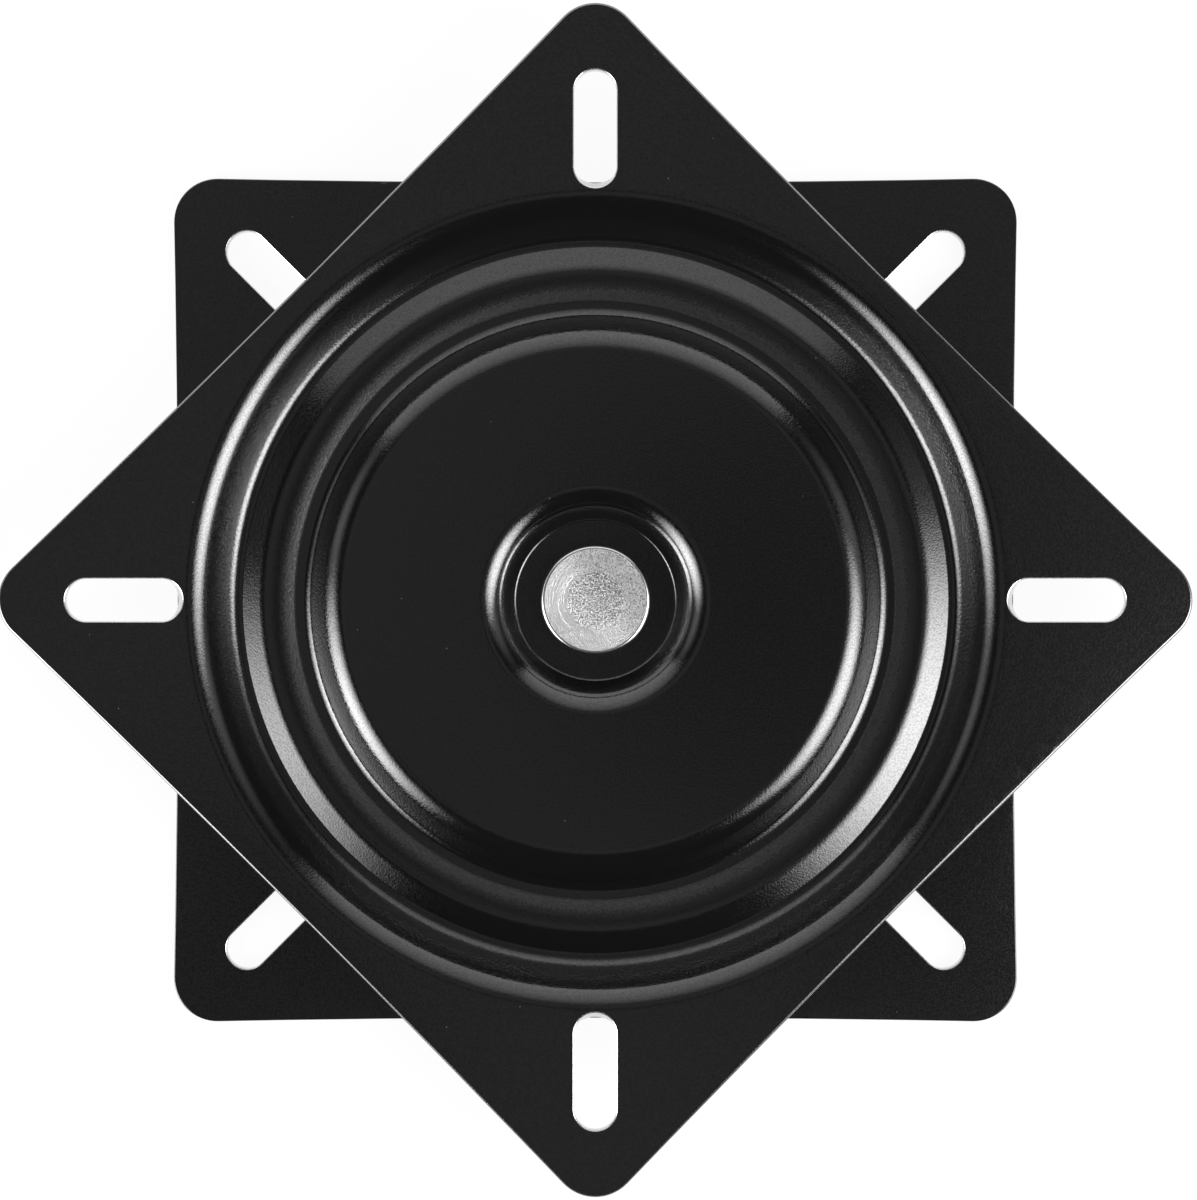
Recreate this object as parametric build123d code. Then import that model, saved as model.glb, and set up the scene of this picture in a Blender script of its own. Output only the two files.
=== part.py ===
from build123d import *
import math
import os

# Swivel plate bearing: two pressed steel plates, back to back, turn on a caged ring of balls
# and are held together by a king rivet. Millimetres and degrees, +Z up.
# The origin is the middle of the lower plate's mounting face.

# Plates
plate_side = 178.0  # between the corners of one side, before they are rounded
corner_radius = 9.0
side_bow = 0.95  # how far pressing draws in the middle of a side
sheet = 2.5
total_height = 22.0  # between the two mounting faces
plate_gap = 1.96  # between the two grooves, where the plates come closest
rest_turn = 45.0  # how far the upper plate stands turned from the lower one
edge_round = 0.8  # rounded rim of the mounting face

# Slots for the mounting bolts, along the diagonals
slot_count = 4
slot_length = 24.0
slot_width = 8.7
slot_inset = 21.0  # of a slot's middle from the two sides of its corner

# Pressed rings of a plate, from the side inwards: widths between corners before they are rounded
flange_width = 7.7
dish_run = 6.45
groove_width = 1.95
shelf_width = 3.13
step_run = 4.98
recess_mouth = 21.4  # radius of the recess for the rivet
recess_run = 4.85

# Pressed rings of a plate: depths
disc_depth = 0.5  # of the middle disc below the mounting face
recess_depth = 5.5  # of the rivet's recess below the disc
lip_depth = 0.77  # of the shelf inside the race below the race's crest

# Pressed rings of a plate: radii of the bends, on the mounting side of the sheet
dish_mouth_bend = 5.7
dish_foot_bend = 2.9
groove_bend = 1.0
lip_bend = 1.2
step_foot_bend = 3.0
disc_bend = 6.0
recess_mouth_bend = 5.0
recess_foot_bend = 0.9

# Ball race
ball_count = 24
ball_diameter = 4.76
race_play = 0.05  # between a ball and the crest of the race
race_ease = 1.22  # how much larger the race's outer curve is than a ball's radius
race_flat = 0.5  # width of the flat at the crest, between its two curves
race_inner_slope = 14.5
race_inner_bend = 15.0
race_outer_slope = 18.0

# Ball cage
cage_thickness = 1.6
cage_inner_web = 2.4
cage_outer_web = 0.9
pocket_play = 0.15

# King rivet, with its shoulder under the upper plate
rivet_journal_radius = 8.0
rivet_neck_radius = 6.5
rivet_upper_head_radius = 11.15
rivet_upper_head_height = 2.6
rivet_lower_head_radius = 12.0
rivet_lower_head_height = 2.6
rivet_edge = 0.5
journal_play = 0.08
neck_play = 0.03

# Thrust washer on the rivet's lower head
washer_thickness = 1.2
washer_play = 0.05  # end play of the swivel
washer_rim_gap = 2.3  # inside the foot of the recess
washer_edge = 0.2

# Levels on the mounting side of the upper plate
middle = total_height / 2
ball_radius = ball_diameter / 2
disc_level = total_height - disc_depth
recess_level = disc_level - recess_depth
groove_level = middle + plate_gap / 2 + sheet
race_crest = middle + ball_radius + race_play + sheet
shelf_level = race_crest - lip_depth

# Levels of the rivet and its washer
rivet_shoulder = recess_level - sheet
rivet_crown = recess_level + rivet_upper_head_height
washer_top = total_height - recess_level - washer_play
rivet_seat = washer_top - washer_thickness
rivet_foot = rivet_seat - rivet_lower_head_height

# Outer curve of the race on the mounting side, where the race is a ridge
race_outer_bend = ball_radius + race_ease + sheet


def flank_reach(slope, bend, drop):
    """How far from the flat of the crest a flank comes down by a drop, after its curve."""
    angle = math.radians(slope)
    straight_drop = drop - bend * (1 - math.cos(angle))
    return bend * math.sin(angle) + straight_drop / math.tan(angle)


def apex_reach(slope, bend):
    """How far from the flat of the crest the corner lies that its curve rounds."""
    return bend * math.tan(math.radians(slope) / 2)


# Radii of the pressed rings' corners, from the outside in
dish_mouth = plate_side / 2 - flange_width
dish_foot = dish_mouth - dish_run
race_outer_foot = dish_foot - groove_width
race_flat_outer = race_outer_foot - flank_reach(race_outer_slope, race_outer_bend, race_crest - groove_level)
race_flat_inner = race_flat_outer - race_flat
race_radius = (race_flat_inner + race_flat_outer) / 2
race_inner_foot = race_flat_inner - flank_reach(race_inner_slope, race_inner_bend, lip_depth)
step_foot = race_inner_foot - shelf_width
disc_edge = step_foot - step_run
recess_foot = recess_mouth - recess_run


def lower_side(corners, bends):
    """Corners and bends of the sheet's lower side, one thickness away from the upper side's."""
    runs = [(b - a).normalized() for a, b in zip(corners, corners[1:])]
    normals = [run.rotate(Axis.Z, -90) for run in runs]
    lower_corners = [corners[0] + normals[0] * sheet]
    lower_bends = []
    for index, bend in enumerate(bends):
        first, second = normals[index], normals[index + 1]
        shift = (first + second) * (sheet / (1 + first.dot(second)))
        lower_corners.append(corners[index + 1] + shift)
        turn = runs[index].cross(runs[index + 1]).Z
        lower_bends.append(bend + math.copysign(sheet, turn))
    lower_corners.append(corners[-1] + normals[-1] * sheet)
    return lower_corners, lower_bends


def sheet_section(hole_radius):
    """Half section of the pressed sheet, from the rivet hole out past the corners."""
    past_corners = plate_side
    corners = [
        Vector(hole_radius, recess_level),
        Vector(recess_foot, recess_level),
        Vector(recess_mouth, disc_level),
        Vector(disc_edge, disc_level),
        Vector(step_foot, shelf_level),
        Vector(race_inner_foot, shelf_level),
        Vector(race_flat_inner - apex_reach(race_inner_slope, race_inner_bend), race_crest),
        Vector(race_flat_outer + apex_reach(race_outer_slope, race_outer_bend), race_crest),
        Vector(race_outer_foot, groove_level),
        Vector(dish_foot, groove_level),
        Vector(dish_mouth, total_height),
        Vector(past_corners, total_height),
    ]
    bends = [
        recess_foot_bend,
        recess_mouth_bend,
        disc_bend,
        step_foot_bend,
        lip_bend,
        race_inner_bend,
        race_outer_bend,
        groove_bend,
        dish_foot_bend,
        dish_mouth_bend,
    ]
    lower_corners, lower_bends = lower_side(corners, bends)
    upper_line = FilletPolyline(*corners, radius=bends)
    lower_line = FilletPolyline(*lower_corners, radius=lower_bends)
    hole_wall = Line(corners[0], lower_corners[0])
    outer_edge = Line(corners[-1], lower_corners[-1])
    return make_face([upper_line, outer_edge, lower_line, hole_wall])


def plate_outline():
    """Square with rounded corners, its sides drawn in at the middle."""
    half = plate_side / 2
    side = ThreePointArc((half, -half), (half - side_bow, 0), (half, half))
    square = make_face([Rot(0, 0, 90 * turn) * side for turn in range(4)])
    return fillet(square.vertices(), corner_radius)


def pressed_plate(hole_radius):
    """One plate with its mounting face up and its sides along X and Y."""
    blank = revolve(Plane.XZ * sheet_section(hole_radius), Axis.Z)
    plate = blank & extrude(plate_outline(), total_height)
    slot = extrude(SlotOverall(slot_length, slot_width), total_height)
    slot_radius = math.sqrt(2) * (plate_side / 2 - slot_inset)
    plate -= PolarLocations(slot_radius, slot_count, 180 / slot_count) * slot
    flange_face = plate.faces().filter_by(Axis.Z).sort_by(Axis.Z)[-1]
    return fillet(flange_face.outer_wire().edges(), edge_round)


def upper_plate():
    """Held on the rivet's neck, turned against the lower plate."""
    return Rot(0, 0, rest_turn) * pressed_plate(rivet_neck_radius + neck_play)


def lower_plate():
    """The same pressing turned over, with a hole that turns on the rivet's journal."""
    plate = pressed_plate(rivet_journal_radius + journal_play)
    return Pos(0, 0, total_height) * Rot(180, 0, 0) * plate


def ball(index):
    """One ball of the race, between the two crests."""
    turn = Rot(0, 0, 360 / ball_count * index)
    return turn * Pos(race_radius, 0, middle) * Sphere(ball_radius)


def ball_cage():
    """Flat ring with a pocket for each ball."""
    pocket_radius = ball_radius + pocket_play
    outside = Circle(race_radius + pocket_radius + cage_outer_web)
    inside = Circle(race_radius - pocket_radius - cage_inner_web)
    pockets = PolarLocations(race_radius, ball_count) * Circle(pocket_radius)
    ring = outside - inside - pockets
    return extrude(Pos(0, 0, middle) * ring, cage_thickness / 2, both=True)


def king_rivet():
    """Turned rivet, clamped to the upper plate between its shoulder and its formed upper head."""
    section = Polyline(
        (0, rivet_foot),
        (rivet_lower_head_radius, rivet_foot),
        (rivet_lower_head_radius, rivet_seat),
        (rivet_journal_radius, rivet_seat),
        (rivet_journal_radius, rivet_shoulder),
        (rivet_neck_radius, rivet_shoulder),
        (rivet_neck_radius, recess_level),
        (rivet_upper_head_radius, recess_level),
        (rivet_upper_head_radius, rivet_crown),
        (0, rivet_crown),
        close=True,
    )
    rivet = revolve(Plane.XZ * make_face(section), Axis.Z)
    rims = rivet.edges().filter_by(GeomType.CIRCLE).sort_by(Axis.Z)
    return chamfer([rims[0], rims[-1]], rivet_edge)


def thrust_washer():
    """Plain washer that turns with the rivet under the lower plate's recess."""
    ring = Circle(recess_foot - washer_rim_gap) - Circle(rivet_journal_radius + journal_play)
    washer = extrude(Pos(0, 0, rivet_seat) * ring, washer_thickness)
    rims = washer.edges().filter_by(GeomType.CIRCLE).sort_by(SortBy.RADIUS)[-2:]
    return chamfer(rims, washer_edge)


pieces = {
    "upper_plate": upper_plate(),
    "lower_plate": lower_plate(),
    "ball_cage": ball_cage(),
    "king_rivet": king_rivet(),
    "thrust_washer": thrust_washer(),
}
for index in range(ball_count):
    pieces[f"ball_{index + 1:02d}"] = ball(index)

os.makedirs("parts", exist_ok=True)
for name, piece in pieces.items():
    export_step(piece, f"parts/{name}.step")
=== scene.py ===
import math
import bmesh
import bpy
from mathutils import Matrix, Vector


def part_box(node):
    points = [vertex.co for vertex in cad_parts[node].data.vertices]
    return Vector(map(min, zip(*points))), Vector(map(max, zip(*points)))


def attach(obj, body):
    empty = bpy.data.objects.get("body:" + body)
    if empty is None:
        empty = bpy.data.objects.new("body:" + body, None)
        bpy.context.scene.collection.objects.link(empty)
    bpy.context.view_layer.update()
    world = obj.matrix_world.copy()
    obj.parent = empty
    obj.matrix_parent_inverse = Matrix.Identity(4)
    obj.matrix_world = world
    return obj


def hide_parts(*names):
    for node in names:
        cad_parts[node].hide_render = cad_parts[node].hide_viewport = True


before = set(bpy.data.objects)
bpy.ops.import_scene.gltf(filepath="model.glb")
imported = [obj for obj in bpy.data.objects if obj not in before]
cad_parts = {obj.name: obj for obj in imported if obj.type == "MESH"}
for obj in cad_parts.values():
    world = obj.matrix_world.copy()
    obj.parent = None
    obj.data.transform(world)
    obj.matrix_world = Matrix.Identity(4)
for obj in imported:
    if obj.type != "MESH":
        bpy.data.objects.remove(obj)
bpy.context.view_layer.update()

mm = 0.001
hair = 0.002 * mm

# levels that the frame already holds
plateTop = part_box("upper_plate")[1].z
middle = plateTop / 2
rivetLow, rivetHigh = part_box("king_rivet")
ballLow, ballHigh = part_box("ball_01")
ballRadius = (ballHigh.z - ballLow.z) / 2


# helpers for edit mode

def freshStart():
    if bpy.context.object and bpy.context.object.mode != "OBJECT":
        bpy.ops.object.mode_set(mode="OBJECT")
    bpy.ops.object.select_all(action="DESELECT")


def pickParts(piece, kind, test):
    # selects the vertices, edges or faces that pass a test
    bpy.ops.mesh.select_mode(type=kind)
    bpy.ops.mesh.select_all(action="DESELECT")
    mesh = bmesh.from_edit_mesh(piece.data)
    parts = {"VERT": mesh.verts, "EDGE": mesh.edges, "FACE": mesh.faces}[kind]
    for part in parts:
        part.select_set(test(part))
    mesh.select_flush_mode()
    bmesh.update_edit_mesh(piece.data)


def pickVerts(piece, test):
    pickParts(piece, "VERT", lambda vert: test(vert.co))


def faceUp(piece):
    bpy.ops.mesh.select_all(action="SELECT")
    bpy.ops.mesh.normals_make_consistent(inside=False)
    mesh = bmesh.from_edit_mesh(piece.data)
    if sum(face.normal.z * face.calc_area() for face in mesh.faces) < 0:
        bpy.ops.mesh.flip_normals()


def useModifier(piece, kind, **settings):
    bpy.context.view_layer.objects.active = piece
    modifier = piece.modifiers.new(kind.title(), kind)
    for name, value in settings.items():
        setattr(modifier, name, value)
    bpy.ops.object.modifier_apply(modifier=modifier.name)


def roundCorners(corners, bends, stepAngle):
    # points of a section: straight runs joined by arcs
    points = [corners[0]]
    for before, corner, after, bend in zip(corners, corners[1:], corners[2:], bends):
        runIn = (corner - before).normalized()
        runOut = (after - corner).normalized()
        turn = math.atan2(runIn.x * runOut.z - runIn.z * runOut.x, runIn.dot(runOut))
        side = Vector((-runIn.z, 0, runIn.x)) * math.copysign(1, turn)
        start = corner - runIn * bend * math.tan(abs(turn) / 2)
        centre = start + side * bend
        steps = max(2, round(abs(turn) / stepAngle))
        for step in range(steps + 1):
            angle = abs(turn) * step / steps
            points.append(centre + (runIn * math.sin(angle) - side * math.cos(angle)) * bend)
    points.append(corners[-1])
    return points


def drawSection(name, points):
    # one vertex, drawn out along the section
    freshStart()
    bpy.ops.mesh.primitive_plane_add(size=mm, location=(0, 0, 0))
    piece = bpy.context.object
    piece.name = piece.data.name = name
    bpy.ops.object.mode_set(mode="EDIT")
    bpy.ops.mesh.merge(type="CENTER")
    bpy.ops.transform.translate(value=points[0])
    for here, there in zip(points, points[1:]):
        bpy.ops.mesh.extrude_region_move(TRANSFORM_OT_translate={"value": there - here})
    return piece


def spinRound(steps):
    bpy.ops.mesh.select_all(action="SELECT")
    bpy.ops.mesh.spin(steps=steps, angle=math.tau, center=(0, 0, 0), axis=(0, 0, 1))
    bpy.ops.mesh.select_all(action="SELECT")
    bpy.ops.mesh.remove_doubles(threshold=hair)


def smooth(piece, angle):
    freshStart()
    piece.select_set(True)
    bpy.context.view_layer.objects.active = piece
    bpy.ops.object.shade_smooth_by_angle(angle=angle)
    useModifier(piece, "WEIGHTED_NORMAL", keep_sharp=True)


def settle(piece):
    freshStart()
    piece.select_set(True)
    bpy.context.view_layer.objects.active = piece
    bpy.ops.object.transform_apply(location=True, rotation=True, scale=True)


def finishWith(piece, finish):
    piece.data.materials.clear()
    piece.data.materials.append(finish)


# helpers for node trees

def addNode(tree, kind, inputs, **settings):
    made = tree.nodes.new("ShaderNode" + kind)
    for name, value in settings.items():
        setattr(made, name, value)
    for place, value in inputs.items():
        if isinstance(value, bpy.types.NodeSocket):
            tree.links.new(value, made.inputs[place])
        else:
            made.inputs[place].default_value = value
    return made.outputs


def addMath(tree, operation, first, second):
    return addNode(tree, "Math", {0: first, 1: second}, operation=operation)[0]


def addShare(tree, value, share, rest):
    # a share of a value, on top of the rest
    return addNode(tree, "Math", {0: value, 1: share, 2: rest}, operation="MULTIPLY_ADD")[0]


def addFade(tree, value, start, end, low=0.0, high=1.0):
    # smooth change of a value between two places
    inputs = {"Value": value, "From Min": start, "From Max": end, "To Min": low, "To Max": high}
    return addNode(tree, "MapRange", inputs, interpolation_type="SMOOTHSTEP")["Result"]


def addNoise(tree, place, scale, detail):
    return addNode(tree, "TexNoise", {"Vector": place, "Scale": scale, "Detail": detail})["Fac"]


def addAlong(tree, place, toward):
    return addNode(tree, "VectorMath", {0: place, 1: toward}, operation="DOT_PRODUCT")["Value"]


def addGap(tree, place, other):
    return addNode(tree, "VectorMath", {0: place, 1: other}, operation="DISTANCE")["Value"]


def addRadius(tree, place):
    flat = addNode(tree, "VectorMath", {0: place, 1: (1, 1, 0)}, operation="MULTIPLY")["Vector"]
    return addNode(tree, "VectorMath", {0: flat}, operation="LENGTH")["Value"]


def addRing(tree, radius, rings):
    # ring-shaped zone: where it starts, is full, starts to fade and ends
    start, full, fading, end = (ring * mm for ring in rings)
    return addMath(tree, "MULTIPLY", addFade(tree, radius, start, full), addFade(tree, radius, end, fading))


def linkBump(tree, shader, height, depth, strength=1.0):
    inputs = {"Height": height, "Strength": strength, "Distance": depth * mm}
    tree.links.new(addNode(tree, "Bump", inputs)["Normal"], shader.inputs["Normal"])


def newFinish(name):
    finish = bpy.data.materials.new(name)
    finish.use_nodes = True
    tree = finish.node_tree
    place = addNode(tree, "TexCoord", {})["Object"]
    return finish, tree, tree.nodes["Principled BSDF"], place


# black paint of the plates

paintLook = {
    "tone": 0.003,
    "dustCells": 330.0,
    "dustChosen": 0.9,
    "dustReach": (0.05, 0.02),
    "dustTone": 0.09,
    "bareReach": (0.0, 0.1),
    "bareMetal": (0.0, 0.85),
    "peel": (420.0, 2.0),
    "grain": (2700.0, 1.0),
    "grainHeight": 1.8,
    "bumps": (2000.0, 3.0),
    "bumpHeight": 11.5,
    "bumpDepth": 0.01,
    "sheenReach": (0.3, 0.7),
    "sheen": (0.09, 0.15),
    "glossReach": (0.35, 0.6),
    "gloss": (0.75, 1.0),
    "walls": {
        "step": {"rings": (54, 56, 58, 59), "bumps": 1.0, "satin": 0.0},
        "dish": {"rings": (74.5, 75.5, 77, 79), "bumps": 0.5, "satin": 0.1},
        "recess": {"rings": (16.4, 17, 19, 20), "bumps": 0.4, "satin": 0.0},
        "raceFlank": {"rings": (61.4, 62, 63.5, 66), "bumps": 0.3, "satin": 0.19},
    },
}


def blackPaint(look):
    finish, tree, shader, place = newFinish("black_paint_finish")

    # small dust, in a few cells of a cell pattern
    cells = addNode(tree, "TexVoronoi", {"Vector": place, "Scale": look["dustCells"]})
    draw = addNode(tree, "SeparateXYZ", {0: cells["Color"]})[0]
    chosen = addMath(tree, "GREATER_THAN", draw, look["dustChosen"])
    dust = addMath(tree, "MULTIPLY", chosen, addFade(tree, cells["Distance"], *look["dustReach"]))
    tone = addShare(tree, dust, look["dustTone"], look["tone"])

    # paint worn thin on the cut edges
    bare = addNode(tree, "Attribute", {}, attribute_name="bare")["Fac"]
    tree.links.new(addMath(tree, "ADD", tone, bare), shader.inputs["Base Color"])
    metal = addFade(tree, bare, *look["bareReach"], *look["bareMetal"])
    tree.links.new(metal, shader.inputs["Metallic"])

    # orange peel under a fine grain; the drawn walls, where the sheet stretched, are rougher
    grain = addNoise(tree, place, *look["grain"])
    bumps = addNoise(tree, place, *look["bumps"])
    height = addShare(tree, grain, look["grainHeight"], addNoise(tree, place, *look["peel"]))
    sheen = addFade(tree, grain, *look["sheenReach"], *look["sheen"])
    radius = addRadius(tree, place)
    for wall in look["walls"].values():
        zone = addRing(tree, radius, wall["rings"])
        rough = addMath(tree, "MULTIPLY", bumps, zone)
        height = addShare(tree, rough, wall["bumps"] * look["bumpHeight"], height)
        sheen = addShare(tree, zone, wall["satin"], sheen)
    linkBump(tree, shader, height, look["bumpDepth"])
    tree.links.new(sheen, shader.inputs["Roughness"])
    gloss = addFade(tree, grain, *look["glossReach"], *look["gloss"])
    tree.links.new(gloss, shader.inputs["Specular IOR Level"])
    return finish


# bare zinc of the rivet and the washer

zincLook = {
    # painted light: the face of the rivet is painted lighter toward the lower left, where the lamps fall
    "paintedLightToward": (-0.75, -0.66, 0),
    "paintedLightReach": (-11, 9),
    "paintedLightTone": (0.53, 0.67),
    "middle": (6.7, 5.3),
    "blows": (3300.0, 2.0),
    "blowHeight": 2.6,
    "dullReach": (0.6, 0.4),
    "dull": (0.15, 0.75),
    "pits": (3800.0, 2.0),
    "pitReach": (0.54, 0.36),
    "pitShare": (0.22, 0.9),
    "darkReach": (0.0, 0.6),
    "dark": (1.0, 0.4),
    "turnedToward": (-0.6, 0.8, 0),
    "turnedReach": (0, 6),
    "turnedHeight": (0.1, 0.8),
    "turnedRings": (2600.0, 2.0),
    "scratchRadius": 7.65,
    "scratchReach": (0.1, 0.03),
    "scratchAngles": (-2.25, -2.4),
    "scratchHeight": (0.0, 0.5),
    "rim": (10.3, 10.6),
    "rimTone": 0.75,
    "roughness": (0.38, 0.22),
    "bumpDepth": 0.1,
}


def addTurnedRings(tree, place, radius, look):
    scale, detail = look["turnedRings"]
    rings = addNode(
        tree, "TexNoise", {"W": radius, "Scale": scale, "Detail": detail}, noise_dimensions="1D"
    )["Fac"]
    start, end = (reach * mm for reach in look["turnedReach"])
    share = addFade(tree, addAlong(tree, place, look["turnedToward"]), start, end, *look["turnedHeight"])
    return addMath(tree, "MULTIPLY", rings, share)


def addScratch(tree, place, radius, look):
    # one long scratch to the left of the middle
    x, y, _ = addNode(tree, "SeparateXYZ", {0: place})
    angle = addMath(tree, "ARCTAN2", y, x)
    off = addMath(tree, "ABSOLUTE", addMath(tree, "SUBTRACT", radius, look["scratchRadius"] * mm), 0.0)
    start, end = (reach * mm for reach in look["scratchReach"])
    along = addFade(tree, angle, *look["scratchAngles"], *look["scratchHeight"])
    return addMath(tree, "MULTIPLY", addFade(tree, off, start, end), along)


def zincSteel(look):
    finish, tree, shader, place = newFinish("zinc_steel_finish")
    radius = addRadius(tree, place)
    # painted light: a colour gradient that is lighter toward the lower left, as if lit from there
    start, end = (reach * mm for reach in look["paintedLightReach"])
    paintedLight = addFade(tree, addAlong(tree, place, look["paintedLightToward"]), start, end)

    # hammered middle, pits more on the side that is painted darker, turned rings to the upper left,
    # burnished rim
    start, end = (reach * mm for reach in look["middle"])
    middlePart = addFade(tree, radius, start, end)
    blows = addNoise(tree, place, *look["blows"])
    hammered = addMath(tree, "MULTIPLY", blows, addMath(tree, "MULTIPLY", middlePart, look["blowHeight"]))
    pits = addFade(tree, addNoise(tree, place, *look["pits"]), *look["pitReach"])
    pits = addMath(tree, "MULTIPLY", pits, addFade(tree, paintedLight, 1.0, 0.0, *look["pitShare"]))
    marks = addMath(
        tree, "ADD", addTurnedRings(tree, place, radius, look), addScratch(tree, place, radius, look)
    )
    start, end = (reach * mm for reach in look["rim"])
    rim = addFade(tree, radius, start, end)
    height = addMath(tree, "ADD", addMath(tree, "SUBTRACT", hammered, pits), marks)
    height = addMath(tree, "MULTIPLY", height, addMath(tree, "SUBTRACT", 1.0, rim))
    linkBump(tree, shader, height, look["bumpDepth"])

    # darker in the pits and between the blows; painted light makes the face lighter toward the lower left
    dark = addFade(tree, pits, *look["darkReach"], *look["dark"])
    tone = addMath(tree, "MULTIPLY", addFade(tree, paintedLight, 0.0, 1.0, *look["paintedLightTone"]), dark)
    dull = addMath(tree, "MULTIPLY", middlePart, addFade(tree, blows, *look["dullReach"], *look["dull"]))
    tone = addMath(tree, "MULTIPLY", tone, addMath(tree, "SUBTRACT", 1.0, dull))
    tone = addMath(tree, "MAXIMUM", tone, addMath(tree, "MULTIPLY", rim, look["rimTone"]))
    tree.links.new(tone, shader.inputs["Base Color"])
    tree.links.new(addFade(tree, rim, 0.0, 1.0, *look["roughness"]), shader.inputs["Roughness"])
    shader.inputs["Metallic"].default_value = 1.0
    return finish


# polished steel of the balls

ballLook = {
    "cloud": (900.0, 2.0),
    "tone": (0.68, 0.8),
    "wear": (2500.0, 2.0),
    "roughness": (0.08, 0.16),
    "reach": (0.3, 0.7),
}


def ballSteel(look):
    finish, tree, shader, place = newFinish("ball_steel_finish")
    tone = addFade(tree, addNoise(tree, place, *look["cloud"]), *look["reach"], *look["tone"])
    tree.links.new(tone, shader.inputs["Base Color"])
    sheen = addFade(tree, addNoise(tree, place, *look["wear"]), *look["reach"], *look["roughness"])
    tree.links.new(sheen, shader.inputs["Roughness"])
    shader.inputs["Metallic"].default_value = 1.0
    return finish


# pale nylon of the cage

nylonLook = {
    "cloud": (300.0, 3.0),
    "dark": (0.66, 0.63, 0.54, 1),
    "light": (0.76, 0.73, 0.65, 1),
    "bumpDepth": 0.05,
    "bumpStrength": 0.2,
    "roughness": 0.55,
}


def cageNylon(look):
    finish, tree, shader, place = newFinish("cage_nylon_finish")
    cloud = addNoise(tree, place, *look["cloud"])
    inputs = {"Factor": cloud, 6: look["dark"], 7: look["light"]}
    tone = addNode(tree, "Mix", inputs, data_type="RGBA")[2]
    tree.links.new(tone, shader.inputs["Base Color"])
    linkBump(tree, shader, cloud, look["bumpDepth"], look["bumpStrength"])
    shader.inputs["Roughness"].default_value = look["roughness"]
    return finish


paint = blackPaint(paintLook)
zinc = zincSteel(zincLook)
steel = ballSteel(ballLook)
nylon = cageNylon(nylonLook)
print("finishes ready")


# pressed plates

pressing = {
    "side": 178.0,
    "cornerCut": 9.53,
    "cornerSteps": 16,
    "sideBow": 0.95,
    "sideRows": 8,
    "sheet": 2.5,
    "gap": 1.96,
    "rim": 0.55,
    "rimSteps": 6,
    "neckHole": 6.53,
    "journalHole": 8.08,
    "flange": 7.7,
    "dishRun": 6.45,
    "groove": 1.95,
    "shelf": 3.13,
    "stepRun": 4.98,
    "recessMouth": 21.4,
    "recessRun": 4.85,
    "discDepth": 0.5,
    "recessDepth": 5.5,
    "lipDepth": 0.77,
    "racePlay": 0.05,
    "raceEase": 1.22,
    "raceFlat": 0.5,
    "innerSlope": 14.5,
    "outerSlope": 18.0,
    "bends": {
        "recessFoot": 0.9,
        "recessMouth": 5.0,
        "disc": 6.0,
        "stepFoot": 3.0,
        "lip": 1.2,
        "raceInner": 15.0,
        "groove": 1.0,
        "dishFoot": 2.9,
        "dishMouth": 5.7,
    },
    "slotLength": 24.0,
    "slotWidth": 8.7,
    "slotInset": 21.0,
    "slotSlant": 1.25,
    "slotSteps": 48,
    "slotCount": 4,
    "ledgeRings": (19.22, 19.32, 19.56),
    "ledgeRise": 0.17,
    "ledgeAbove": 4.0,
    "cutEdge": 0.25,
    "cutEdgeSteps": 4,
    "rimBare": 0.2,
    "slotBare": 0.6,
    "slotZone": {"half": 5.22, "from": 83.9, "to": 110.0},
    "flangeRings": (85, 86.5, 88, 90, 92, 95, 98),
    "blankRadius": 142.4,
    "ringSteps": 288,
    "bendStep": math.radians(5),
    "smoothAngle": math.radians(45),
}


def flankReach(slope, bend, drop):
    # how far from the flat of the crest a flank comes down by a drop
    curve = bend * (1 - math.cos(slope))
    return bend * math.sin(slope) + (drop - curve) / math.tan(slope)


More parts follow.
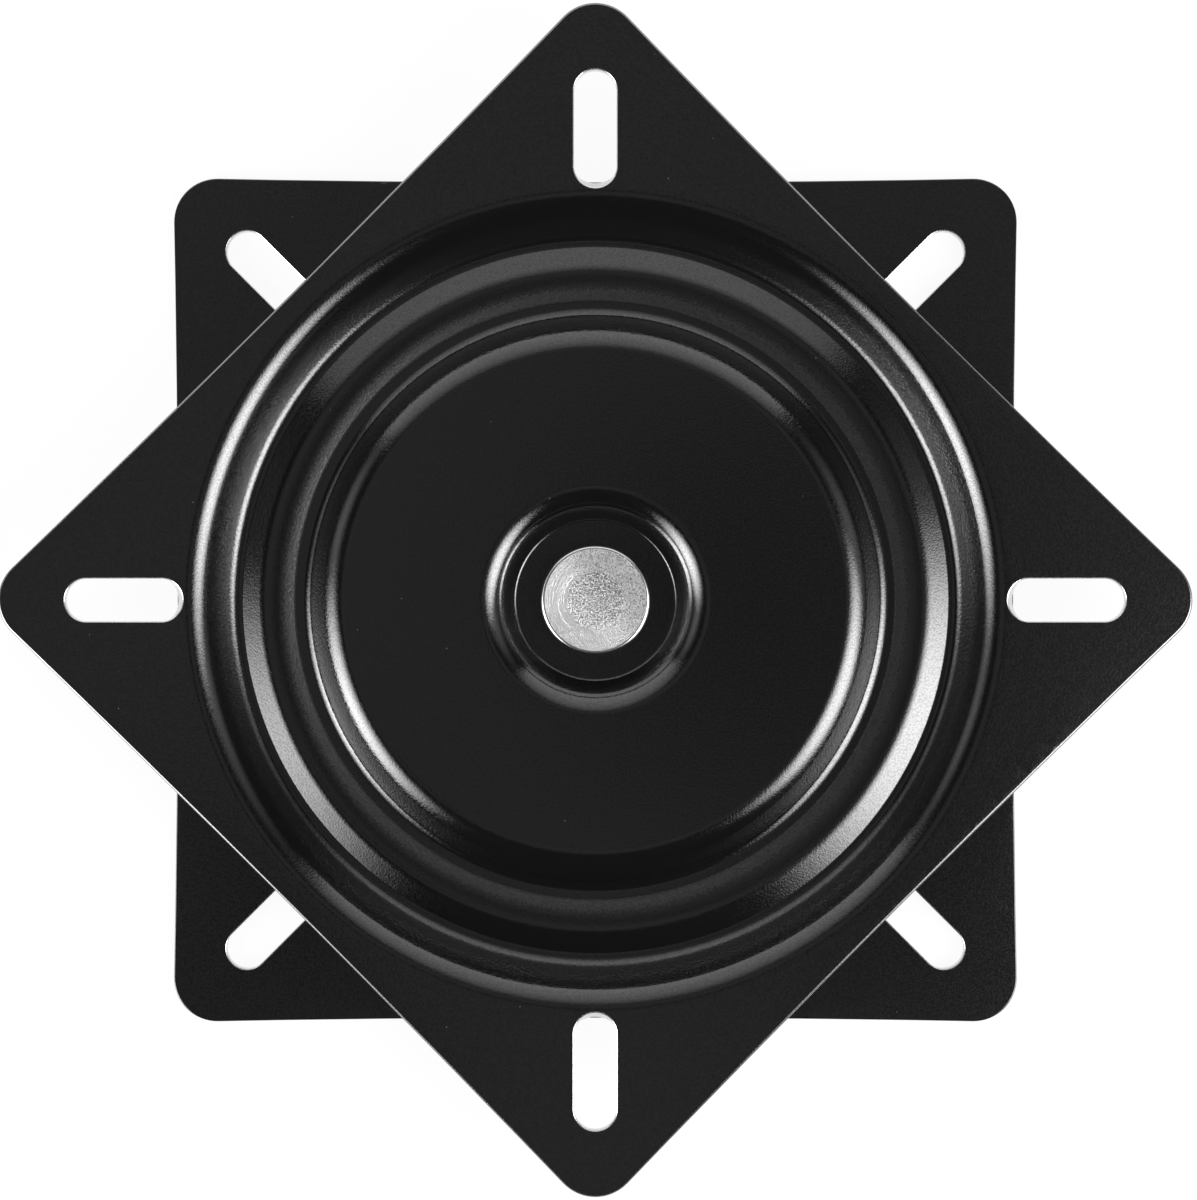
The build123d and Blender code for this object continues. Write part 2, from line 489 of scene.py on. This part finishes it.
def plateSection(holeRadius):
    top = plateTop / mm
    centre = middle / mm
    ball = ballRadius / mm
    sheet = pressing["sheet"]
    bends = pressing["bends"]
    disc = top - pressing["discDepth"]
    recess = disc - pressing["recessDepth"]
    groove = centre + pressing["gap"] / 2 + sheet
    crest = centre + ball + pressing["racePlay"] + sheet
    shelf = crest - pressing["lipDepth"]

    # radii of the corners, from the outside in
    inner = math.radians(pressing["innerSlope"])
    outer = math.radians(pressing["outerSlope"])
    raceOuterBend = ball + pressing["raceEase"] + sheet
    dishMouth = pressing["side"] / 2 - pressing["flange"]
    dishFoot = dishMouth - pressing["dishRun"]
    raceOuter = dishFoot - pressing["groove"]
    flatOuter = raceOuter - flankReach(outer, raceOuterBend, crest - groove)
    flatInner = flatOuter - pressing["raceFlat"]
    raceInner = flatInner - flankReach(inner, bends["raceInner"], pressing["lipDepth"])
    stepFoot = raceInner - pressing["shelf"]
    discEdge = stepFoot - pressing["stepRun"]
    recessFoot = pressing["recessMouth"] - pressing["recessRun"]

    corners = [
        (holeRadius, recess),
        (recessFoot, recess),
        (pressing["recessMouth"], disc),
        (discEdge, disc),
        (stepFoot, shelf),
        (raceInner, shelf),
        (flatInner - bends["raceInner"] * math.tan(inner / 2), crest),
        (flatOuter + raceOuterBend * math.tan(outer / 2), crest),
        (raceOuter, groove),
        (dishFoot, groove),
        (dishMouth, top),
        (pressing["flangeRings"][0], top),
    ]
    radii = [
        bends["recessFoot"],
        bends["recessMouth"],
        bends["disc"],
        bends["stepFoot"],
        bends["lip"],
        bends["raceInner"],
        raceOuterBend,
        bends["groove"],
        bends["dishFoot"],
        bends["dishMouth"],
    ]
    corners = [Vector((r, 0, z)) * mm for r, z in corners]
    points = roundCorners(corners, [radius * mm for radius in radii], pressing["bendStep"])
    beyond = pressing["flangeRings"][1:] + (pressing["blankRadius"],)
    points += [Vector((r * mm, 0, plateTop)) for r in beyond]

    # rings for the ledge, on the straight wall of the recess
    rise = (disc - recess) / pressing["recessRun"]
    points += [Vector((r, 0, recess + (r - recessFoot) * rise)) * mm for r in pressing["ledgeRings"]]
    return sorted(points, key=lambda point: point.x)


def raiseLedge(plate):
    # small ledge that the second stroke of the press left on the wall of the recess
    reach = 10 * hair
    inner, outer = (ring * mm for ring in pressing["ledgeRings"][:2])
    lowest = middle + pressing["ledgeAbove"] * mm
    bpy.context.view_layer.objects.active = plate
    bpy.ops.object.mode_set(mode="EDIT")
    pickVerts(
        plate, lambda co: inner - reach < math.hypot(co.x, co.y) < outer + reach and co.z > lowest
    )
    bpy.ops.transform.translate(value=(0, 0, pressing["ledgeRise"] * mm))
    bpy.ops.object.mode_set(mode="OBJECT")


def onUpperRim(edge):
    # between a level face that looks up and an upright one
    level = 0.9
    upright = 0.1
    rises = [face.normal.z for face in edge.link_faces]
    return max(rises) > level and abs(min(rises)) < upright


def quarterRound(edge):
    # rise and gain of a rounded edge, in steps
    steps = pressing["cutEdgeSteps"]
    angles = [math.pi / 2 * step / steps for step in range(steps + 1)]
    return [(edge * (1 - math.cos(angle)), edge * math.sin(angle)) for angle in angles]


def drawUp(levels):
    # draws the picked face up through levels, each a height and a half width
    for (height, reach), (nextHeight, nextReach) in zip(levels, levels[1:]):
        bpy.ops.mesh.extrude_region_move(TRANSFORM_OT_translate={"value": (0, 0, nextHeight - height)})
        share = nextReach / reach
        bpy.ops.transform.resize(value=(share, share, 1), center_override=(0, 0, 0))
    bpy.ops.mesh.select_all(action="SELECT")
    bpy.ops.mesh.normals_make_consistent(inside=False)


def outlineCutter():
    # square whose sides are drawn in, with rounded corners, turned so that its diagonals lie on X and Y
    side = pressing["side"] * mm
    half = side / 2
    bow = pressing["sideBow"] * mm
    rows = pressing["sideRows"]
    near = 0.1 * mm
    outer = half * 0.9
    freshStart()
    bpy.ops.mesh.primitive_plane_add(size=side, location=(0, 0, 0))
    cutter = bpy.context.object
    bpy.ops.object.mode_set(mode="EDIT")
    bpy.ops.mesh.subdivide(number_cuts=rows - 1)
    for row in range(1, rows):
        place = side * (row / rows - 0.5)
        squeeze = 1 - bow / half * (1 - (place / half) ** 2)
        pickVerts(cutter, lambda co: abs(co.x - place) < near and abs(co.y) > outer)
        bpy.ops.transform.resize(value=(1, squeeze, 1), center_override=(0, 0, 0))
        pickVerts(cutter, lambda co: abs(co.y - place) < near and abs(co.x) > outer)
        bpy.ops.transform.resize(value=(squeeze, 1, 1), center_override=(0, 0, 0))
    pickVerts(cutter, lambda co: min(abs(co.x), abs(co.y)) > half - near)
    bpy.ops.mesh.bevel(
        affect="VERTICES", offset=pressing["cornerCut"] * mm, segments=pressing["cornerSteps"]
    )
    bpy.ops.mesh.select_all(action="SELECT")
    bpy.ops.transform.rotate(value=math.pi / 4, orient_axis="Z", center_override=(0, 0, 0))

    # a little narrower below the sheet, which rounds its lower edge; the upper rim is rounded more
    edge = pressing["cutEdge"] * mm
    foot = plateTop - pressing["sheet"] * mm - hair
    share = 1 - edge / half
    bpy.ops.transform.resize(value=(share, share, 1), center_override=(0, 0, 0))
    rounded = [(foot + rise, half - edge + gain) for rise, gain in quarterRound(edge)]
    drawUp([(0, half - edge), *rounded, (plateTop + hair, half)])
    pickParts(cutter, "EDGE", onUpperRim)
    bpy.ops.mesh.bevel(affect="EDGES", offset=pressing["rim"] * mm, segments=pressing["rimSteps"])
    bpy.ops.object.mode_set(mode="OBJECT")
    return cutter


def slotCutter():
    # a post with flared ends, parted across its middle, its inner end leaning, set round on X and Y
    steps = pressing["slotSteps"]
    sheet = pressing["sheet"] * mm
    edge = pressing["cutEdge"] * mm
    radius = pressing["slotWidth"] * mm / 2 / math.cos(math.pi / steps)
    stretch = (pressing["slotLength"] - pressing["slotWidth"]) * mm / 2
    reach = math.sqrt(2) * (pressing["side"] / 2 - pressing["slotInset"]) * mm
    foot = plateTop - sheet - hair
    top = plateTop + hair
    lower = [(foot + edge - gain, radius + rise) for rise, gain in reversed(quarterRound(edge))]
    upper = [(top - edge + gain, radius + rise) for rise, gain in quarterRound(edge)]
    levels = [(foot - sheet, radius + edge), *lower, *upper, (top + sheet, radius + edge)]
    freshStart()
    bpy.ops.mesh.primitive_circle_add(
        vertices=steps, radius=radius + edge, fill_type="NGON", location=(0, 0, levels[0][0])
    )
    cutter = bpy.context.object
    settle(cutter)
    bpy.ops.object.mode_set(mode="EDIT")
    bpy.ops.mesh.select_all(action="SELECT")
    bpy.ops.transform.rotate(value=math.pi / steps, orient_axis="Z", center_override=(0, 0, 0))
    drawUp(levels)
    for away in (-1, 1):
        pickVerts(cutter, lambda co: co.x * away > 0)
        bpy.ops.transform.translate(value=(stretch * away, 0, 0))
    slant = pressing["slotSlant"] / pressing["sheet"] / radius
    for level, _ in levels:
        pickVerts(cutter, lambda co: co.x < -stretch - hair and abs(co.z - level) < hair / 2)
        share = 1 + slant * (level - plateTop)
        bpy.ops.transform.resize(value=(share, 1, 1), center_override=(-stretch, 0, 0))
    bpy.ops.mesh.select_all(action="SELECT")
    bpy.ops.transform.translate(value=(reach, 0, 0))
    for _ in range(pressing["slotCount"] - 1):
        bpy.ops.mesh.duplicate()
        turn = math.tau / pressing["slotCount"]
        bpy.ops.transform.rotate(value=turn, orient_axis="Z", center_override=(0, 0, 0))
    bpy.ops.object.mode_set(mode="OBJECT")
    return cutter


def markBare(plate):
    # how bare each face is: the rounded rim of the mounting face a little, the walls of the slots more
    level = 0.99
    sloping = 0.05
    lowest = plateTop - pressing["sheet"] * mm
    slotHalf, slotStart, slotEnd = (reach * mm for reach in pressing["slotZone"].values())
    bare = plate.data.attributes.new("bare", "FLOAT", "FACE")
    for face in plate.data.polygons:
        centre = face.center
        radius = math.hypot(centre.x, centre.y)
        if radius < slotStart or centre.z < lowest or abs(face.normal.z) > level:
            continue
        if min(abs(centre.x), abs(centre.y)) < slotHalf and radius < slotEnd:
            bare.data[face.index].value = pressing["slotBare"]
        elif face.normal.z > sloping:
            bare.data[face.index].value = pressing["rimBare"]


def pressPlate(name, holeRadius):
    plate = drawSection(name, plateSection(holeRadius))
    spinRound(pressing["ringSteps"])
    faceUp(plate)
    bpy.ops.object.mode_set(mode="OBJECT")
    useModifier(plate, "SOLIDIFY", thickness=pressing["sheet"] * mm, offset=-1, use_even_offset=True)
    raiseLedge(plate)
    outline = outlineCutter()
    useModifier(plate, "BOOLEAN", operation="INTERSECT", object=outline, solver="EXACT")
    slots = slotCutter()
    useModifier(plate, "BOOLEAN", operation="DIFFERENCE", object=slots, solver="EXACT")
    for cutter in (outline, slots):
        bpy.data.objects.remove(cutter)
    markBare(plate)
    smooth(plate, pressing["smoothAngle"])
    finishWith(plate, paint)
    print("plate", name, len(plate.data.polygons), "faces")
    return plate


upperPlate = pressPlate("upper_plate_pressed", pressing["neckHole"])
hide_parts("upper_plate")
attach(upperPlate, "upper")

# the same pressing, turned over, its sides along X and Y
lowerPlate = pressPlate("lower_plate_pressed", pressing["journalHole"])
lowerPlate.rotation_euler = (math.pi, 0, math.pi / 4)
lowerPlate.location.z = plateTop
settle(lowerPlate)
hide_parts("lower_plate")
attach(lowerPlate, "lower")


# king rivet

rivet = {
    "journal": 8.0,
    "neck": 6.5,
    "upperHead": 11.15,
    "lowerHead": 12.0,
    "headHeight": 2.6,
    "shoulderDrop": 5.1,
    "edge": 0.5,
    "edgeRound": 0.25,
    "cornerRound": 0.1,
    "crownShoulder": 0.2,
    "crownFacet": 0.22,
    "dimple": 6.6,
    "dimpleRun": 0.6,
    "dimpleDepth": 0.08,
    "dimpleRound": 1.0,
    "ringSteps": 144,
    "bendStep": math.radians(12),
    "smoothAngle": math.radians(40),
}


def buildRivet():
    foot = rivetLow.z / mm
    crown = rivetHigh.z / mm
    seat = foot + rivet["headHeight"]
    under = crown - rivet["headHeight"]
    shoulder = crown - rivet["shoulderDrop"]
    edge = rivet["edge"]
    low = rivet["lowerHead"]
    up = rivet["upperHead"]
    facetEdge = up - rivet["crownShoulder"]
    well = crown - rivet["dimpleDepth"]
    corners = [
        (0, foot),
        (low - edge, foot),
        (low, foot + edge),
        (low, seat),
        (rivet["journal"], seat),
        (rivet["journal"], shoulder),
        (rivet["neck"], shoulder),
        (rivet["neck"], under),
        (up, under),
        (up, crown - edge),
        (facetEdge, crown - rivet["crownFacet"] / 2),
        (facetEdge - rivet["crownFacet"], crown),
        (rivet["dimple"], crown),
        (rivet["dimple"] - rivet["dimpleRun"], well),
        (0, well),
    ]
    fine = rivet["edgeRound"]
    tight = rivet["cornerRound"]
    wide = rivet["dimpleRound"]
    bends = [fine, fine, fine, fine, tight, tight, tight, fine, tight, fine, fine, wide, wide]
    corners = [Vector((r, 0, z)) * mm for r, z in corners]
    points = roundCorners(corners, [bend * mm for bend in bends], rivet["bendStep"])
    piece = drawSection("king_rivet_formed", points)
    spinRound(rivet["ringSteps"])
    bpy.ops.mesh.normals_make_consistent(inside=False)
    bpy.ops.object.mode_set(mode="OBJECT")
    smooth(piece, rivet["smoothAngle"])
    finishWith(piece, zinc)
    print("rivet", len(piece.data.polygons), "faces")
    return piece


kingRivet = buildRivet()
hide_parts("king_rivet")
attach(kingRivet, "upper")


# pieces kept as they come from the frame

for name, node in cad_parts.items():
    finish = steel if name.startswith("ball_") else zinc
    if name == "ball_cage":
        finish = nylon
    finishWith(node, finish)


# floor, light and camera

studio = {
    "floorSize": 8.0,
    "floorDrop": 0.1,
    "floorTone": (0.8, 0.8, 0.8, 1),
    "floorFade": (0.4, 1.2),
    "floorGlow": (0.93, 1.0),
    "distance": 1.0,
    "softboxes": {
        "left_softbox": {
            "azimuth": 204.5, "tilt": 66.5, "width": 1.14, "height": 1.56, "radiance": 13.2, "core": 0.0
        },
        "right_softbox": {
            "azimuth": 339.0, "tilt": 52.0, "width": 1.06, "height": 1.38, "radiance": 12.0, "core": 0.08
        },
    },
    "board": {"azimuth": 93.5, "width": 2.26, "height": 3.2, "radiance": 1.5},
    "room": 0.015,
    "overhead": 0.165,
    "overheadReach": (0.9, 0.97),
    "dimCore": 0.02,
    "dimSpots": {
        "camera": {"toward": (0.06, 0.0, 1.0), "level": 0.1, "reach": 0.14},
        "left": {"toward": (-0.13, -0.13, 0.98), "level": 0.1, "reach": 0.09},
        "right": {"toward": (0.13, -0.13, 0.98), "level": 0.3, "reach": 0.09},
    },
    "spills": {
        "right": {"toward": (0.874, 0.123, 0.469), "level": 0.8, "reach": 0.6},
        "left": {"toward": (-0.875, 0.235, 0.423), "level": 0.9, "reach": 0.5},
    },
    "lens": 85.2,
    "sensor": 36.0,
    "nearest": 0.01,
    "cameraPlace": (0.65, 0, 601),
}


def buildFloor():
    # keeps the shadow near the part, turns white far off, and lets a view from below through
    freshStart()
    bpy.ops.mesh.primitive_plane_add(size=studio["floorSize"], location=(0, 0, -studio["floorDrop"] * mm))
    floor = bpy.context.object
    floor.name = "floor"
    finish, tree, shader, place = newFinish("pale_floor")
    tree.nodes.remove(shader)
    matte = addNode(tree, "BsdfDiffuse", {"Color": studio["floorTone"]})[0]
    glow = addNode(tree, "Emission", {"Color": (1, 1, 1, 1)})[0]
    ray = addNode(tree, "LightPath", {})
    seen = addMath(tree, "MAXIMUM", ray["Is Camera Ray"], ray["Is Glossy Ray"])
    seen = addMath(tree, "MAXIMUM", seen, ray["Is Transmission Ray"])
    white = addFade(tree, addRadius(tree, place), *studio["floorFade"], *studio["floorGlow"])
    top = addNode(tree, "MixShader", {0: addMath(tree, "MULTIPLY", seen, white), 1: matte, 2: glow})[0]
    clear = addNode(tree, "BsdfTransparent", {})[0]
    under = addNode(tree, "NewGeometry", {})["Backfacing"]
    mixed = addNode(tree, "MixShader", {0: under, 1: top, 2: clear})[0]
    tree.links.new(mixed, tree.nodes["Material Output"].inputs["Surface"])
    finishWith(floor, finish)


def hangLamp(name, width, height, radiance, place, toward):
    lamp = bpy.data.lights.new(name, "AREA")
    lamp.shape = "RECTANGLE"
    lamp.size = width
    lamp.size_y = height
    lamp.energy = radiance * math.pi * width * height
    lamp.use_nodes = True
    holder = bpy.data.objects.new(name, lamp)
    holder.location = place
    holder.rotation_euler = toward.to_track_quat("Z", "Y").to_euler()
    holder.visible_camera = False
    bpy.context.scene.collection.objects.link(holder)
    return lamp.node_tree


def buildSoftbox(name, box):
    # brightest at its middle, fading to its edges
    azimuth = math.radians(box["azimuth"])
    tilt = math.radians(box["tilt"])
    level = math.sin(tilt)
    toward = Vector((level * math.cos(azimuth), level * math.sin(azimuth), math.cos(tilt)))
    place = toward * studio["distance"]
    tree = hangLamp(name, box["width"], box["height"], box["radiance"], place, toward)
    spot = addNode(tree, "NewGeometry", {})["Parametric"]
    off = addGap(tree, spot, (0.5, 0.5, 0))
    tree.links.new(addFade(tree, off, 0.5, box["core"]), tree.nodes["Emission"].inputs["Strength"])


def buildBoard(board):
    # a pale board behind, brightest near the floor
    azimuth = math.radians(board["azimuth"])
    toward = Vector((math.cos(azimuth), math.sin(azimuth), 0))
    place = toward * studio["distance"] + Vector((0, 0, board["height"] / 2))
    tree = hangLamp("back_board", board["width"], board["height"], board["radiance"], place, toward)
    spot = addNode(tree, "NewGeometry", {})["Parametric"]
    rise = addNode(tree, "SeparateXYZ", {0: spot})[1]
    fall = addMath(tree, "SUBTRACT", 1.0, rise)
    tree.links.new(fall, tree.nodes["Emission"].inputs["Strength"])


def buildWorld():
    # dim room, a little lighter overhead and beside the softboxes, white behind the floor
    world = bpy.data.worlds.new("studio")
    world.use_nodes = True
    bpy.context.scene.world = world
    tree = world.node_tree
    toward = addNode(tree, "TexCoord", {})["Generated"]
    up = addNode(tree, "SeparateXYZ", {0: toward})[2]
    level = addFade(tree, up, *studio["overheadReach"], 0.0, studio["overhead"])
    for spot in studio["dimSpots"].values():
        off = addGap(tree, toward, spot["toward"])
        dimmed = addFade(tree, off, studio["dimCore"], spot["reach"], spot["level"], 1.0)
        level = addMath(tree, "MULTIPLY", level, dimmed)
    for spill in studio["spills"].values():
        off = addGap(tree, toward, spill["toward"])
        level = addMath(tree, "ADD", level, addFade(tree, off, spill["reach"], 0.0, 0.0, spill["level"]))
    level = addMath(tree, "ADD", level, studio["room"])
    ray = addNode(tree, "LightPath", {})
    room = tree.nodes["Background"]
    room.inputs["Color"].default_value = (1, 1, 1, 1)
    tree.links.new(addMath(tree, "MAXIMUM", level, ray["Is Camera Ray"]), room.inputs["Strength"])


def buildCamera():
    camera = bpy.data.cameras.new("camera")
    camera.lens = studio["lens"]
    camera.sensor_width = studio["sensor"]
    camera.clip_start = studio["nearest"]
    holder = bpy.data.objects.new("camera", camera)
    holder.location = Vector(studio["cameraPlace"]) * mm
    bpy.context.scene.collection.objects.link(holder)
    bpy.context.scene.camera = holder


bpy.context.scene.view_settings.view_transform = "Standard"
buildFloor()
for name, box in studio["softboxes"].items():
    buildSoftbox(name, box)
buildBoard(studio["board"])
buildWorld()
buildCamera()
print("studio ready")
